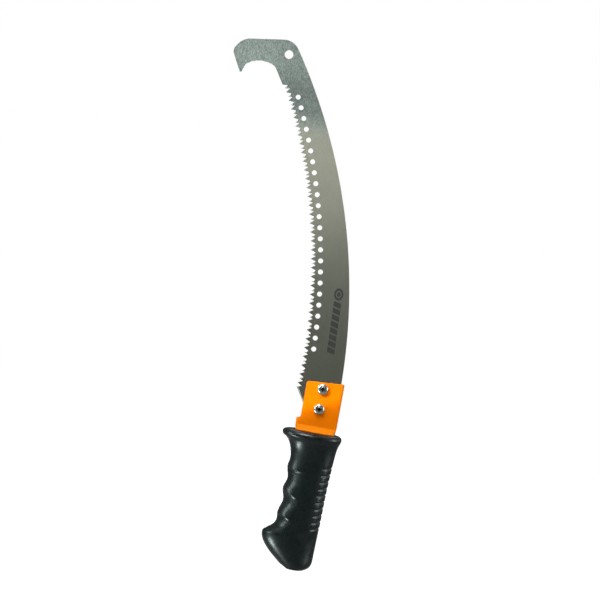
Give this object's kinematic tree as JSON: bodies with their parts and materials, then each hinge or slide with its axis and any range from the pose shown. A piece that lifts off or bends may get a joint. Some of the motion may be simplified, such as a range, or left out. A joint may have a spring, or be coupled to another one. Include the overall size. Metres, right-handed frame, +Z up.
{
  "type": "pole saw head",
  "caption": "Curved pull-saw blade with a lopping hook and a row of relief holes, screwed into a flattened orange tube above a black finger grip with a socket for a pole.",
  "frame": {"origin": "on the pole's axis, at the lower end of the grip, which is the mouth of the pole socket", "axes": "+Z up the pole's axis towards the hook, teeth and hook towards -X, screw heads towards -Y and nuts towards +Y"},
  "size_m": [0.1942, 0.0458, 0.5695],
  "materials": {
    "blade_steel": "rolled and hardened, mottled grey, part polished",
    "holder_paint": "semi-gloss orange powder coat",
    "grip_plastic": "moulded black plastic with a soft sheen",
    "zinc": "bright zinc plate"
  },
  "bodies": {
    "head": {"saw_blade": "blade_steel", "blade_holder": "holder_paint", "grip": "grip_plastic", "upper_flat_washer": "zinc", "upper_spring_washer": "zinc", "lower_flat_washer": "zinc", "lower_spring_washer": "zinc"},
    "upper_screw": {"upper_screw": "zinc"},
    "upper_nut": {"upper_nut": "zinc"},
    "lower_screw": {"lower_screw": "zinc"},
    "lower_nut": {"lower_nut": "zinc"}
  },
  "joints": [
    {"name": "upper_screw_turn", "type": "hinge", "parent": "head", "child": "upper_screw", "pos_m": [0, 0, 0.199], "axis": [0, -1, 0], "range_deg": [0, 1440]},
    {"name": "upper_nut_travel", "type": "slide", "parent": "head", "child": "upper_nut", "axis": [0, 1, 0], "range_m": [0, 0.004]},
    {"name": "lower_screw_turn", "type": "hinge", "parent": "head", "child": "lower_screw", "pos_m": [0, 0, 0.1767], "axis": [0, -1, 0], "range_deg": [0, 1440]},
    {"name": "lower_nut_travel", "type": "slide", "parent": "head", "child": "lower_nut", "axis": [0, 1, 0], "range_m": [0, 0.004]}
  ],
  "couplings": [
    {"joint": "upper_screw_turn", "follows": "upper_nut_travel", "rad_per_m": 6283.2},
    {"joint": "lower_screw_turn", "follows": "lower_nut_travel", "rad_per_m": 6283.2}
  ]
}
